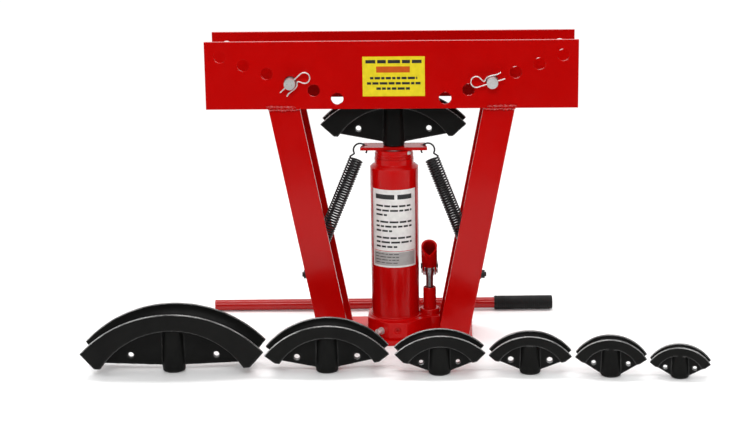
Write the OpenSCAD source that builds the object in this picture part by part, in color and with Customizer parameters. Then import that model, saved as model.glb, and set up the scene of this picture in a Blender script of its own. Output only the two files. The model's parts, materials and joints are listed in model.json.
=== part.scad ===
// Hydraulic tube bender: an open frame with a 12-tonne bottle jack, its bending formers and its pump lever.
// Millimetres. +X runs along the cross-plates, +Y to the back, +Z up.
// The origin is at the middle of the base plate's underside.

/* [Frame] */
// Length of the two cross-plates
plate_len = 600; // [580:5:620]
// Height of the cross-plates
plate_h = 110; // [100:1:120]
// Thickness of the cross-plates
plate_t = 6; // [5:0.5:7]
// Height of the cross-plates' top edge
frame_h = 508; // [500:1:520]
// Clear gap between the two cross-plates
gap_y = 98.4; // [94:0.2:102]
// Width of each leg's face, measured level
leg_w = 51; // [44:1:56]
// Wall of the channel legs
leg_t = 6; // [4:0.5:7]
// Half distance between the legs' outer edges at the base
leg_foot_x = 124; // [118:1:126]
// Outward lean of each leg, across over up
leg_slope = 0.1935; // [0.17:0.005:0.2]
// Length of the base plate
base_len = 262; // [256:1:290]
// Depth of the base plate
base_depth = 138; // [130:1:150]
// Thickness of the base plate
base_t = 8; // [8:0.5:9]

/* [Rollers] */
// Diameter of the holes for the roller pins
hole_d = 20; // [19:0.5:22]
// Half distance between the innermost pair of holes
hole_first_x = 86.9; // [84:0.1:90]
// Height of the innermost pair of holes
hole_first_z = 414.6; // [412:0.1:418]
// Step across from each hole to the next one
hole_step_x = 37.7; // [36:0.1:38]
// Step up from each hole to the next one
hole_step_z = 13.8; // [13:0.1:14]
// Which hole from the middle holds each roller pin
pin_hole = 2; // [2:1:3]
// Diameter of the roller pins
pin_d = 18; // [16:0.5:18]
// Diameter of the rollers
roller_d = 50; // [40:1:50]

/* [Jack] */
// Sideways place of the jack's axis on the base
jack_x = 2; // [-3:1:3]
// Outer diameter of the reservoir tube
tube_d = 80; // [76:1:84]
// Height of the reservoir tube's shoulder
tube_top = 294; // [290:1:296]
// Diameter of the ram
ram_d = 40; // [34:1:42]
// Sideways place of the pump
pump_x = 59.5; // [58:0.5:61]
// Diameter of the pump's plunger
plunger_d = 12; // [11:0.5:13]

/* [Return springs] */
// Outer diameter of the coils
spring_d = 25; // [22:1:26]
// Wire diameter
wire_d = 3.2; // [2.6:0.2:3.2]
// Number of coils
coils = 38; // [30:1:40]

/* [Lever] */
// Length of the lever with its grip
lever_len = 594; // [560:1:620]
// Diameter of the lever's tube
lever_d = 19; // [18:0.5:19.5]
// Length of the grip
grip_len = 102; // [90:1:120]
// Diameter of the grip
grip_d = 24; // [22:1:26]

/* [Hidden] */
$fn = 64;

red = [0.72, 0.05, 0.05];
dark_red = [0.6, 0.04, 0.04];
black = [0.1, 0.1, 0.1];
zinc = [0.75, 0.76, 0.78];
steel = [0.4, 0.4, 0.42];
rubber = [0.06, 0.06, 0.06];
label_white = [0.9, 0.9, 0.88];
label_yellow = [0.95, 0.85, 0.1];
clearance = 0.05;        // radial gap of every running fit

// Frame places worked out from the driving sizes
plate_z = frame_h - plate_h;
plate_in_y = gap_y / 2;
plate_out_y = plate_in_y + plate_t;
leg_top = plate_z + 12;
holes_per_side = 6;
pin_x = hole_first_x + pin_hole * hole_step_x;
pin_drop = (hole_d - pin_d) / 2 - 0.1;   // the pin lies on the bottom of its holes
pin_z = hole_first_z + pin_hole * hole_step_z - pin_drop;
pin_out = 17;            // how far the pin stands out of the front plate
clip_y = -plate_out_y - 10;
clip_r = 1;
clip_hole_r = 1.8;
left_clip_turn = 42;     // the left clip's loop points up to the right
right_clip_turn = 197;   // the right clip's loop points to the left
// Route of a hairpin clip, from the tip of its straight leg, with the pin's centre at the origin
CLIP = [[21, 0], [10, 0], [0, 0], [-10, 0], [-18, 0], [-24, -0.1], [-28.4, 1.1], [-31.6, 4.3],
    [-32.8, 8.7], [-31.6, 13.1], [-28.4, 16.3], [-24, 17.5], [-19.6, 16.3], [-16.6, 12.8], [-14.4, 8.6],
    [-12, 5.8], [-9.6, 7.2], [-6.8, 9.8], [-2.5, 11.2], [2.5, 11.2], [6.5, 10.7], [10, 10.45],
    [13.5, 10.8], [17.5, 11.8]];

// Jack heights
jack_base_t = 38;
cyl_floor = 22;          // floor of the pressure cylinder's seat
neck_top = 320.5;
plate_low = 321;         // underside of the cross-plate on the ram
spring_plate_t = 5;
spring_plate_size = [108, 38];
former_seat = plate_low + spring_plate_t;
spigot_d = 22 - 2 * clearance;
socket_bore = 22;
socket_depth = 26;
cyl_in_d = ram_d + 6;
cyl_out_d = cyl_in_d + 12;
piston_h = 20;
ram_foot = 28;
spigot_h = spring_plate_t + 20;
tube_foot = 32;
wiper_h = 6;
filler_z = 244;

// Springs and their anchors
anchor_z = 104;
hook_r = 11;
hook_c = [56, 318];      // centre of the upper hook, from the jack's axis
plate_eye_x = 47.2;      // hooking holes in the cross-plate, from the jack's axis
plate_eye_r = 3.9;
spring_top = [62.7, 303];
spring_low = [124.5, 148];
anchor_x = 128;          // centre of the anchor eye
anchor_r = 4;
eye_r = 6.5;
eye_wire_r = 2.2;
low_hook_r = 6.3;
coil_steps = 8;

// Pump linkage
link_arm = 24;           // from the link pin to the plunger pin
arm_angle = 35;          // how far the arm points up at rest
plunger_pin_z = 118.7;
plunger_at = [0, plunger_pin_z];
link_head = plunger_at + link_arm * [cos(arm_angle), -sin(arm_angle)];
cheek_tip = [-5, 129];   // where each cheek meets the socket's tube
link_foot = [22, 34];    // foot pivot, back and up
lug_x = 9.5;             // half distance between the casting's two lugs
socket_root = [6, 112];  // where the socket's axis starts, back and up
socket_tilt = 50;        // the socket's slope above level, towards the front
socket_len = 67;
socket_floor = 21;
socket_out_d = 26.5;
socket_in_d = 20;
small_pin_r = 3;
cheek_x = [8, 11.5];     // inner and outer face of each cheek
slot_play = [2.2, 0.7];  // the cheeks' slot is longer and higher than the pin by this much
pump_cyl_d = 21.5;

// Release valve, square on the casting's slanted front face
valve_pos = [-20, -47.4, 19.8];
valve_turn = -44;
plug_pos = [7, -59, 22.8];

// Formers: [tube, rim radius, half chord, height, low corner, web end, web foot z, hole, socket d, rim depth]
T60 = [60.3, 199, 146.3, 102.4, [124, 13], [114, 11.5], 9, [68.5, 26.3, 9], 37, 28];
T48 = [48.3, 166, 119.6, 91.7, [97.5, 20.5], [91, 19], 6.5, [58, 29, 9], 35.5, 24];
T42 = [42.4, 126, 99.2, 81.9, [82.5, 20.5], [76, 17.8], 6.8, [48, 24.3, 9], 36, 21.3];
T33 = [33.7, 103, 72.2, 67.5, [58, 23.6], [53.5, 17.2], 4.2, [29.2, 19.2, 7], 35, 19];
T26 = [26.9, 83, 65.6, 64, [55, 22.7], [50.5, 18.2], 5.5, [30.6, 21.6, 9], 33.3, 15.7];
T21 = [21.3, 67, 56.2, 62.3, [45, 23.5], [41, 18], 3, [27, 20.6, 7], 31.8, 16];
T17 = [17.2, 56.6, 47.5, 51.1, [39, 18.5], [35, 14], 3, [22.8, 16, 6.5], 28.4, 13.5];
former_wall = 4;
web_t = 8;

// Standing places of the loose formers on the floor: [x, y, turn]
P60 = [-348.7, -185.9, 2];
P42 = [-102.6, -189.1, 2.8];
P33 = [76.6, -200.1, 2.9];
P26 = [220, -196.5, -2.5];
P21 = [346.1, -209.8, -6];
P17 = [453.2, -217.9, -8];

// Lever: its tip and its grip both lie on the floor
lever_tip = [-320.7, 129.3];
lever_turn = 0.8;
lever_rise = asin((grip_d - lever_d) / 2 / (lever_len - grip_len));

// ---------- helpers ----------

// A flat outline in X and Z, given a thickness in Y about the middle plane
module upright(depth) rotate([90, 0, 0]) linear_extrude(depth, center = true) children();

// A flat outline in Y and Z, given a thickness in X from x0 to x1
module sideways(x0, x1) translate([x0, 0, 0]) rotate([90, 0, 90]) linear_extrude(x1 - x0) children();

// A cylinder along Y from y0 to y1
module rod_y(r, y0, y1) translate([0, y0, 0]) rotate([-90, 0, 0]) cylinder(r = r, h = y1 - y0);

// A cylinder along X from x0 to x1
module rod_x(r, x0, x1) translate([x0, 0, 0]) rotate([0, 90, 0]) cylinder(r = r, h = x1 - x0);

// A tube standing on the XY plane
module pipe(d_out, d_in, h) difference() {
    cylinder(d = d_out, h = h);
    translate([0, 0, -1]) cylinder(d = d_in, h = h + 2);
}

function unit(v) = v / norm(v);
function directions(p) = [for (i = [0:len(p) - 1]) unit(p[min(i + 1, len(p) - 1)] - p[max(i - 1, 0)])];
function flatten_on(n, t) = unit(n - (n * t) * t);
function carried(t, n0) = [for (i = 0, n = flatten_on(n0, t[0]); i < len(t);
    i = i + 1, n = flatten_on(n, t[min(i, len(t) - 1)])) n];

// Round wire along a list of points
module wire(points, r, sides) {
    t = directions(points);
    n = carried(t, [0, 1, 0.01]);
    last = len(points) - 1;
    rings = [for (i = [0:last], k = [0:sides - 1])
        points[i] + r * (cos(360 * k / sides) * n[i] + sin(360 * k / sides) * cross(t[i], n[i]))];
    walls = [for (i = [0:last - 1], k = [0:sides - 1])
        [i * sides + k, (i + 1) * sides + k,
            (i + 1) * sides + (k + 1) % sides, i * sides + (k + 1) % sides]];
    ends = [[for (k = [0:sides - 1]) k], [for (k = [sides - 1:-1:0]) last * sides + k]];
    polyhedron(rings, concat(ends, walls), convexity = 10);
}

// Points on an arc in the XZ plane, from angle a0 to a1
function arc_xz(c, r, a0, a1, steps) = [for (i = [0:steps]) let (a = a0 + (a1 - a0) * i / steps)
    [c[0] + r * cos(a), 0, c[1] + r * sin(a)]];

// ---------- frame ----------

module at_base_screws() for (s = [-1, 1]) translate([jack_x + 28 * s, 10, 0]) children();

module base_plate() color(dark_red) difference() {
    translate([-base_len / 2, -base_depth / 2, 0]) cube([base_len, base_depth, base_t]);
    at_base_screws() {
        translate([0, 0, -1]) cylinder(r = 4.3, h = base_t + 2);
        translate([0, 0, -1]) cylinder(r1 = 9.6, r2 = 4.2, h = 5.4);
    }
}

function leg_out(z) = leg_foot_x + (z - base_t) * leg_slope;

module leg_outline(off_out, off_in, z0, z1) polygon([[leg_out(z0) - off_out, z0],
    [leg_out(z1) - off_out, z1], [leg_out(z1) - off_in, z1], [leg_out(z0) - off_in, z0]]);

module leg() difference() {
    upright(gap_y) leg_outline(0, leg_w, base_t, leg_top);
    upright(gap_y - 2 * leg_t) leg_outline(leg_t, leg_w + 20, base_t - 1, leg_top + 1);
    translate([0, 0, anchor_z]) rod_x(anchor_r + clearance, anchor_x - 28, anchor_x + 32);
}

module left_leg() color(red) mirror([1, 0, 0]) leg();
module right_leg() color(red) leg();

function hole_at(i) = [hole_first_x + i * hole_step_x, hole_first_z + i * hole_step_z];

module cross_plate(y0) difference() {
    translate([-plate_len / 2, y0, plate_z]) cube([plate_len, plate_t, plate_h]);
    for (s = [-1, 1], i = [0:holes_per_side - 1])
        translate([s * hole_at(i)[0], 0, hole_at(i)[1]]) rod_y(hole_d / 2, y0 - 1, y0 + plate_t + 1);
}

module front_plate() color(red) cross_plate(-plate_out_y);
module back_plate() color(red) cross_plate(plate_in_y);

module caution_label() color(label_yellow)
    translate([-45.5, -plate_out_y - 0.3, 418.5]) cube([100, 0.3, 64.5]);

// Eye bolt through the leg's outer wall: its ring faces the jack
module anchor_bolt() translate([0, 0, anchor_z]) {
    wall_x = leg_out(anchor_z) - leg_t;
    translate([anchor_x, 0, 0]) rotate_extrude() translate([eye_r, 0]) circle(r = eye_wire_r);
    rod_x(anchor_r, anchor_x + eye_r, wall_x + leg_t + 12);
}

module left_anchor_bolt() color(black) mirror([1, 0, 0]) anchor_bolt();
module right_anchor_bolt() color(black) anchor_bolt();

module anchor_nuts() color(black) for (s = [0, 1]) mirror([s, 0, 0])
    translate([leg_out(anchor_z) + 1.8, 0, anchor_z]) difference() {
        union() {
            rod_x(8.5, 0, 1.6);
            translate([1.6, 0, 0]) rotate([0, 90, 0]) cylinder(r = 7.5, h = 6, $fn = 6);
        }
        rod_x(anchor_r + clearance, -1, 10);
    }

module base_screws() color(zinc) at_base_screws() translate([0, 0, 0.4]) difference() {
    union() {
        cylinder(r1 = 8, r2 = 4, h = 4);
        cylinder(r = 4, h = 16);
    }
    translate([0, 0, -1]) cylinder(r = 2.6, h = 4, $fn = 6);
}

// ---------- jack ----------

module casting_outline() polygon([[-44, -24], [-8, -59], [22, -59], [44, -34], [62, -20], [77, -18],
    [77, 32], [44, 34], [20, 47], [-20, 47], [-44, 24]]);

module link_lugs() for (s = [-1, 1]) translate([pump_x + s * lug_x, link_foot[0], link_foot[1]]) {
    rod_x(6, -2.5, 2.5);
    translate([-2.5, -6, 8 - link_foot[1]]) cube([5, 12, link_foot[1] - 8]);
}

module jack_base() color(dark_red) difference() {
    union() {
        difference() {
            union() {
                translate([0, 0, base_t]) linear_extrude(28) casting_outline();
                translate([pump_x, 0, base_t]) cylinder(d = 33, h = 36);
                translate([pump_x, 0, base_t + 36]) cylinder(d1 = 33, d2 = 30, h = 2);
            }
            translate([pump_x - lug_x - 4, link_foot[0] - 8, base_t + 6]) cube([2 * lug_x + 8, 40, 60]);
        }
        translate([jack_x, 0, base_t]) cylinder(d = 92, h = jack_base_t - base_t - 2);
        translate([jack_x, 0, jack_base_t - 2]) cylinder(d1 = 92, d2 = 88, h = 2);
        link_lugs();
    }
    translate([jack_x, 0, cyl_floor]) cylinder(d = cyl_out_d + 2 * clearance, h = 40);
    translate([jack_x, 0, tube_foot]) pipe(tube_d + 2 * clearance, tube_d - 7 - 2 * clearance, 20);
    translate([pump_x, 0, 30]) cylinder(d = pump_cyl_d + 2 * clearance, h = 30);
    translate([pump_x, 0, 21]) cylinder(r = 3.4, h = 12);
    translate([pump_x, link_foot[0], link_foot[1]]) rod_x(small_pin_r + clearance, -20, 20);
    translate(valve_pos) rotate([0, 0, valve_turn]) rod_y(6 + clearance, -3, 24);
    translate(plug_pos) rod_y(5 + clearance, -1, 12);
    at_base_screws() cylinder(r = 4 + clearance, h = 18);
}

module reservoir_tube() color(red) translate([jack_x, 0, 0]) difference() {
    union() {
        translate([0, 0, tube_foot]) cylinder(d = tube_d, h = tube_top - 3 - tube_foot);
        translate([0, 0, tube_top - 3]) cylinder(d1 = tube_d, d2 = tube_d - 7, h = 3);
    }
    translate([0, 0, tube_foot - 1]) cylinder(d = tube_d - 7, h = tube_top - 10 - tube_foot);
    cylinder(d = cyl_out_d + 2 * clearance, h = tube_top + 1);
    translate([0, 0, filler_z]) rod_y(4 + clearance, 20, 60);
}

module pressure_cylinder() color(zinc) translate([jack_x, 0, cyl_floor]) difference() {
    cylinder(d = cyl_out_d, h = tube_top - cyl_floor);
    translate([0, 0, 4]) cylinder(d = cyl_in_d, h = tube_top);
}

module head_nut() color(red) translate([jack_x, 0, tube_top]) difference() {
    neck_h = neck_top - tube_top;
    union() {
        cylinder(d1 = 73, d2 = 65, h = 3);
        translate([0, 0, 3]) cylinder(d = 65, h = 9);
        for (z = [12, 16]) translate([0, 0, z]) {
            cylinder(d = 62, h = 1.5);
            translate([0, 0, 1.5]) cylinder(d = 64, h = 2.5);
        }
        translate([0, 0, 20]) cylinder(d = 62, h = neck_h - 21);
        translate([0, 0, neck_h - 1]) cylinder(d1 = 62, d2 = 60, h = 1);
    }
    translate([0, 0, -1]) cylinder(d = ram_d + 2 * clearance, h = 60);
    translate([0, 0, neck_h - wiper_h]) cylinder(d = ram_d + 8, h = wiper_h + 1);
}

module ram_wiper() color(rubber) translate([jack_x, 0, neck_top - wiper_h])
    pipe(ram_d + 8, ram_d + 2 * clearance, wiper_h - 0.5);

module filler_plug() color(rubber) translate([jack_x, 0, filler_z]) {
    rod_y(4, tube_d / 2 - 5, tube_d / 2 + 0.6);
    rod_y(6.5, tube_d / 2 + 0.6, tube_d / 2 + 3);
}

module jack_label() color(label_white) translate([jack_x, 0, 127]) difference() {
    pipe(tube_d + 0.8, tube_d + 0.1, 132);
    translate([-50, -20.5, -1]) cube([100, 70, 140]);
}

module relief_valve_plug() color(dark_red) translate(plug_pos) difference() {
    rod_y(5, 1, 11);
    translate([0, 0.5, 0]) rotate([-90, 0, 0]) cylinder(r = 2.8, h = 4, $fn = 6);
}

module pump_cylinder() color(red) translate([pump_x, 0, 30]) difference() {
    union() {
        cylinder(d = pump_cyl_d, h = 51);
        translate([0, 0, 51]) cylinder(d1 = pump_cyl_d, d2 = pump_cyl_d - 2, h = 1.5);
    }
    cylinder(r = 3, h = 10);
    translate([0, 0, 6]) cylinder(d = plunger_d + 2 * clearance, h = 60);
    translate([0, 0, 44]) cylinder(d = plunger_d + 5, h = 10);
}

module pump_packing() color(rubber) translate([pump_x, 0, 74])
    pipe(plunger_d + 5, plunger_d + 2 * clearance, 7);

module check_balls() color(zinc) {
    translate([pump_x, 0, 24.2]) sphere(r = 3.1);
    translate(valve_pos) rotate([0, 0, valve_turn]) translate([0, 20.7, 0]) sphere(r = 3.1);
}

module link_foot_pin() color(zinc) translate([pump_x, link_foot[0], link_foot[1]]) {
    for (s = [0, 1]) mirror([s, 0, 0]) {
        rod_x(small_pin_r, 0, lug_x + 3);
        rod_x(4.5, lug_x + 2.6, lug_x + 3.6);
    }
}

module release_valve() color(zinc) translate(valve_pos) rotate([0, 0, valve_turn]) difference() {
    union() {
        rod_y(6, -2, 17);
        rod_y(3.4, -3, -2);
        rod_y(4.8, -11, -3);
    }
    translate([-1.2, -12, -8]) cube([2.4, 5, 16]);
}

module ram() color(zinc) translate([jack_x, 0, 0]) difference() {
    union() {
        translate([0, 0, ram_foot]) cylinder(d = cyl_in_d - 2 * clearance, h = piston_h);
        translate([0, 0, ram_foot]) cylinder(d = ram_d, h = plate_low - ram_foot);
        translate([0, 0, plate_low]) cylinder(d = spigot_d, h = spigot_h);
        translate([0, 0, plate_low + spigot_h]) cylinder(d1 = spigot_d, d2 = spigot_d - 3, h = 1.5);
    }
    translate([0, 0, ram_foot + 6]) pipe(cyl_in_d + 2, ram_d - 2, 6);
}

module piston_seal() color(rubber) translate([jack_x, 0, ram_foot + 6.2])
    pipe(cyl_in_d - 2 * clearance, ram_d - 2 + 2 * clearance, 5.6);

module spring_plate() color(red) translate([jack_x, 0, plate_low]) difference() {
    linear_extrude(spring_plate_t) difference() {
        polygon([[-55, -19], [55, -19], [51, 19], [-51, 19]]);
        for (s = [-1, 1]) translate([s * plate_eye_x, 0]) circle(r = plate_eye_r);
    }
    translate([0, 0, -1]) cylinder(d = spigot_d + 2 * clearance, h = spring_plate_t + 2);
}

// ---------- return springs ----------

// Centre line of the coils from the anchor's end up to the given top
function coil_points(top_x) = let (low = [spring_low[0], 0, spring_low[1]], top = [top_x, 0, spring_top[1]],
        along = unit(top - low), side = [along[2], 0, -along[0]], last = coils * coil_steps,
        r = (spring_d - wire_d) / 2)
    [for (i = [0:last]) let (a = 360 * i / coil_steps)
        low + (top - low) * i / last + r * (cos(a) * side + sin(a) * [0, 1, 0])];

// One spring on the +X side: a hook round the anchor's eye, the coils, and a hook through the cross-plate
module return_spring(axis_x) wire(concat(
    arc_xz([anchor_x - eye_r, anchor_z], low_hook_r, -200, 0, 12), [[130.5, 0, 118], [133.6, 0, 138]],
    coil_points(axis_x + spring_top[0]),
    arc_xz([axis_x + hook_c[0], hook_c[1]], hook_r, -32, 208, 14)), wire_d / 2, 4);

module left_return_spring() color(black) mirror([1, 0, 0]) return_spring(-jack_x);
module right_return_spring() color(black) return_spring(jack_x);

// ---------- pump linkage ----------

// A flat bar with round ends between two points of the YZ plane
module link_outline(a, b, r) {
    side = r * [-(b - a)[1], (b - a)[0]] / norm(b - a);
    translate(a) circle(r = r);
    translate(b) circle(r = r);
    polygon([a + side, b + side, b - side, a - side]);
}

module pump_link() color(dark_red) translate([pump_x, 0, 0]) difference() {
    union() {
        sideways(-6, 6) link_outline(link_foot, link_head, 4.5);
        for (p = [link_foot, link_head]) translate([0, p[0], p[1]]) rod_x(6, -6, 6);
    }
    for (p = [link_foot, link_head]) translate([0, p[0], p[1]]) rod_x(small_pin_r + clearance, -8, 8);
}

module link_pin() color(zinc) translate([pump_x, link_head[0], link_head[1]]) {
    rod_x(small_pin_r, -cheek_x[1] - 1.2, cheek_x[1] + 1.2);
    for (s = [-1, 1]) rod_x(4.5, s * (cheek_x[1] + 1.4) - 1, s * (cheek_x[1] + 1.4) + 1);
}

module along_socket() translate([pump_x, socket_root[0], socket_root[1]])
    rotate([90 - socket_tilt, 0, 0]) children();

// The cheeks' slot for the plunger pin, longer towards the link pin
module plunger_slot() {
    grow = slot_play[0] * unit(link_head - plunger_at);
    link_outline(plunger_at, plunger_at + grow, small_pin_r + slot_play[1]);
}

module handle_socket() color(red) difference() {
    union() {
        along_socket() translate([0, 0, socket_floor])
            cylinder(d = socket_out_d, h = socket_len - socket_floor);
        for (s = [-1, 1]) translate([pump_x + s * (cheek_x[0] + cheek_x[1]) / 2, 0, 0])
            sideways((cheek_x[0] - cheek_x[1]) / 2, (cheek_x[1] - cheek_x[0]) / 2) difference() {
                union() {
                    link_outline(plunger_at, link_head, 7.5);
                    link_outline(plunger_at, cheek_tip, 7.5);
                    link_outline(link_head, cheek_tip, 7.5);
                }
                plunger_slot();
            }
    }
    along_socket() translate([0, 0, socket_floor + 3]) cylinder(d = socket_in_d, h = socket_len);
    along_socket() translate([0, 0, socket_len - 12]) rotate([90, 0, 0])
        linear_extrude(20) polygon([[0, 0], [13.5, 13], [-13.5, 13]]);
    translate([pump_x, link_head[0], link_head[1]]) rod_x(small_pin_r + clearance, -20, 20);
}

module pump_plunger() color(zinc) translate([pump_x, 0, 0]) difference() {
    union() {
        translate([0, 0, 54]) cylinder(d = plunger_d, h = 60);
        translate([0, 0, 103]) cylinder(d = 15, h = 1);
        intersection() {
            translate([0, 0, 104]) cylinder(d = 15, h = 30);
            union() {
                translate([0, 0, plunger_pin_z]) rod_x(7.5, -8, 8);
                translate([-8, -8, 103.5]) cube([16, 16, plunger_pin_z - 103.5]);
            }
        }
    }
    translate([0, 0, plunger_pin_z]) rod_x(small_pin_r + clearance, -10, 10);
}

module plunger_pin() color(black) translate([pump_x, 0, plunger_pin_z]) difference() {
    union() {
        rod_x(small_pin_r, -14.5, 14.5);
        rod_x(5, -14.6, -12);
    }
    translate([13.3, 0, -5]) cylinder(r = 0.9, h = 10);
}

// Split pin through the plunger pin's tip, with its legs spread below
module plunger_cotters() color(zinc) translate([pump_x + 13.3, 0, plunger_pin_z]) {
    translate([0, 0, -4]) cylinder(r = 0.8, h = 8);
    translate([0, 0, 5]) rotate([0, 90, 0]) rotate_extrude() translate([1.6, 0]) circle(r = 0.7, $fn = 16);
    for (s = [-1, 1]) translate([0, 0, -3.8]) rotate([s * 24, 0, 0])
        translate([0, 0, -5]) cylinder(r = 0.6, h = 5.2);
}

// ---------- rollers, their pins and clips ----------

module roller_pin(s, turn) color(zinc) translate([s * pin_x, 0, pin_z]) difference() {
    union() {
        rod_y(pin_d / 2, -plate_out_y - pin_out, plate_out_y + 1);
        rod_y(13, plate_out_y, plate_out_y + 5);
    }
    translate([0, clip_y, 0]) rotate([0, -turn, 0]) rod_x(clip_hole_r, -20, 20);
}

module left_roller_pin() roller_pin(-1, left_clip_turn);
module right_roller_pin() roller_pin(1, right_clip_turn);

module roller(s) color(steel) translate([s * pin_x, 0, pin_z]) difference() {
    union() {
        rod_y(roller_d / 2, -45, 45);
        for (m = [0, 1]) mirror([0, m, 0]) translate([0, 45, 0]) rotate([-90, 0, 0])
            cylinder(d1 = roller_d, d2 = roller_d - 4, h = 2);
    }
    rod_y(pin_d / 2 + clearance, -50, 50);
}

module left_roller() roller(-1);
module right_roller() roller(1);

module pin_clip(s, turn) color(zinc) translate([s * pin_x, clip_y, pin_z]) rotate([0, -turn, 0])
    wire([for (p = CLIP) [-p[0], 0, -p[1]]], clip_r, 6);

module left_pin_clip() pin_clip(-1, left_clip_turn);
module right_pin_clip() pin_clip(1, right_clip_turn);

// ---------- formers ----------

// The outline of the rim's two cut ends and its underside, as a clip for the rim
module rim_wedge(f) {
    rim_mid = f[3] - f[1];
    end = [f[2], rim_mid + sqrt(f[1] * f[1] - f[2] * f[2])];
    past = end + 0.4 * (end - f[4]);
    polygon([[past[0], 2 * f[3]], past, f[4], [0, f[5][1] - 6],
        [-f[4][0], f[4][1]], [-past[0], past[1]], [-past[0], 2 * f[3]]]);
}

// The rim's inner arc runs through its middle and the web's two ends
module inner_disc(f) {
    top = f[3] - f[9];
    rise = top - f[5][1];
    r = (f[5][0] * f[5][0] + rise * rise) / 2 / rise;
    translate([0, top - r]) circle(r = r, $fn = 128);
}

module former(f) color(black) {
    tube_r = f[0] / 2;
    rim_mid = f[3] - f[1];
    width = f[0] + 2 * former_wall;
    floor_r = f[1] - tube_r - former_wall;
    difference() {
        union() {
            upright(width) difference() {
                intersection() {
                    translate([0, rim_mid]) circle(r = f[1], $fn = 128);
                    rim_wedge(f);
                }
                inner_disc(f);
            }
            intersection() {
                upright(width) rim_wedge(f);
                translate([0, 0, rim_mid]) rotate([90, 0, 0]) rotate_extrude($fn = 128) intersection() {
                    translate([f[1], 0]) circle(r = tube_r + former_wall - 0.3);
                    translate([floor_r - 5, -width]) square([f[1] - floor_r + 5, 2 * width]);
                }
            }
            upright(web_t) difference() {
                intersection() {
                    translate([0, rim_mid]) circle(r = floor_r + former_wall / 2, $fn = 128);
                    polygon([[-f[5][0] - 1, f[3]], [-f[5][0] - 1, f[5][1] + 1.5], [-f[8] / 2, f[6]],
                        [f[8] / 2, f[6]], [f[5][0] + 1, f[5][1] + 1.5], [f[5][0] + 1, f[3]]]);
                }
                for (s = [-1, 1]) translate([s * f[7][0], f[7][1]]) circle(d = f[7][2]);
            }
            translate([0, 0, 1.5]) cylinder(d1 = f[8], d2 = f[8] - 4, h = rim_mid + floor_r + 0.5);
            cylinder(d1 = f[8] - 3, d2 = f[8], h = 1.5);
        }
        translate([0, 0, rim_mid]) rotate([90, 0, 0]) rotate_extrude($fn = 128)
            translate([f[1], 0]) circle(r = tube_r);
        translate([0, 0, -1]) cylinder(d = socket_bore, h = socket_depth + 1);
    }
}

module stand(p) translate([p[0], p[1], 0]) rotate([0, 0, p[2]]) children();

module former_48() translate([jack_x, 0, former_seat]) former(T48);
module former_60() stand(P60) former(T60);
module former_42() stand(P42) former(T42);
module former_33() stand(P33) former(T33);
module former_26() stand(P26) former(T26);
module former_21() stand(P21) former(T21);
module former_17() stand(P17) former(T17);

// ---------- lever ----------

module along_lever() translate([lever_tip[0], lever_tip[1], lever_d / 2 + 0.05])
    rotate([0, 0, lever_turn]) rotate([0, -lever_rise, 0]) children();

module lever_tube() color(red) along_lever() difference() {
    rod_x(lever_d / 2, 0, lever_len - 4);
    rod_x(lever_d / 2 - 2, -1, lever_len);
}

module lever_grip() color(rubber) along_lever() difference() {
    union() {
        rod_x(grip_d / 2, lever_len - grip_len, lever_len - 2);
        translate([lever_len - 2, 0, 0]) rotate([0, 90, 0]) cylinder(d1 = grip_d, d2 = grip_d - 4, h = 2);
    }
    rod_x(lever_d / 2, lever_len - grip_len - 1, lever_len - 4);
}

// ---------- drawing ----------

base_plate();
left_leg();
right_leg();
front_plate();
back_plate();
caution_label();
left_anchor_bolt();
right_anchor_bolt();
anchor_nuts();
base_screws();
jack_base();
reservoir_tube();
pressure_cylinder();
head_nut();
ram_wiper();
filler_plug();
jack_label();
relief_valve_plug();
pump_cylinder();
pump_packing();
check_balls();
link_foot_pin();
release_valve();
ram();
piston_seal();
spring_plate();
left_return_spring();
right_return_spring();
pump_link();
link_pin();
handle_socket();
pump_plunger();
plunger_pin();
plunger_cotters();
left_roller_pin();
right_roller_pin();
left_roller();
right_roller();
left_pin_clip();
right_pin_clip();
former_48();
former_60();
former_42();
former_33();
former_26();
former_21();
former_17();
lever_tube();
lever_grip();
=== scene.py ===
"""Looks of a hydraulic tube bender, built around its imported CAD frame. Metres, +X right, +Y back, +Z up."""
import json
import math
import random

import bmesh
import bpy
from mathutils import Matrix, Vector, noise


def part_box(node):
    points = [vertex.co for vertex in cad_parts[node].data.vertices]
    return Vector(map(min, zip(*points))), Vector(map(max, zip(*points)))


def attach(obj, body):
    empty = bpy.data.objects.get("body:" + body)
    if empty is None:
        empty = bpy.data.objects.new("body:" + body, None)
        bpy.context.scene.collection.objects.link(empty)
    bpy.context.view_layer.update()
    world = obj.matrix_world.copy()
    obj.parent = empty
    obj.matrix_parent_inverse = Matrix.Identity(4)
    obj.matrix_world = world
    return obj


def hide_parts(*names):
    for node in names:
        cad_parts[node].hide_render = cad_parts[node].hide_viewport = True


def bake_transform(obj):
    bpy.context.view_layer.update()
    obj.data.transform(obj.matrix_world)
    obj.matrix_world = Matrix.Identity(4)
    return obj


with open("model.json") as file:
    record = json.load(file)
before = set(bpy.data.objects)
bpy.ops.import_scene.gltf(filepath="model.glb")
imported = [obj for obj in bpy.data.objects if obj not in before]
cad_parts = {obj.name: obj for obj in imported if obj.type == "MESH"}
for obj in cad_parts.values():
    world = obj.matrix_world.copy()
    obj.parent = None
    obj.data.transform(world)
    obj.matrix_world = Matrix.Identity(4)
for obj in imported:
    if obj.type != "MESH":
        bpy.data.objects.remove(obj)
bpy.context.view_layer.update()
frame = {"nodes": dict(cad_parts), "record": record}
MM = 0.001
scene = bpy.context.scene
scene.view_settings.view_transform = "Standard"
X_AXIS, Y_AXIS, Z_AXIS = Vector((1, 0, 0)), Vector((0, 1, 0)), Vector((0, 0, 1))


# ---------- camera and stage ----------

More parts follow.
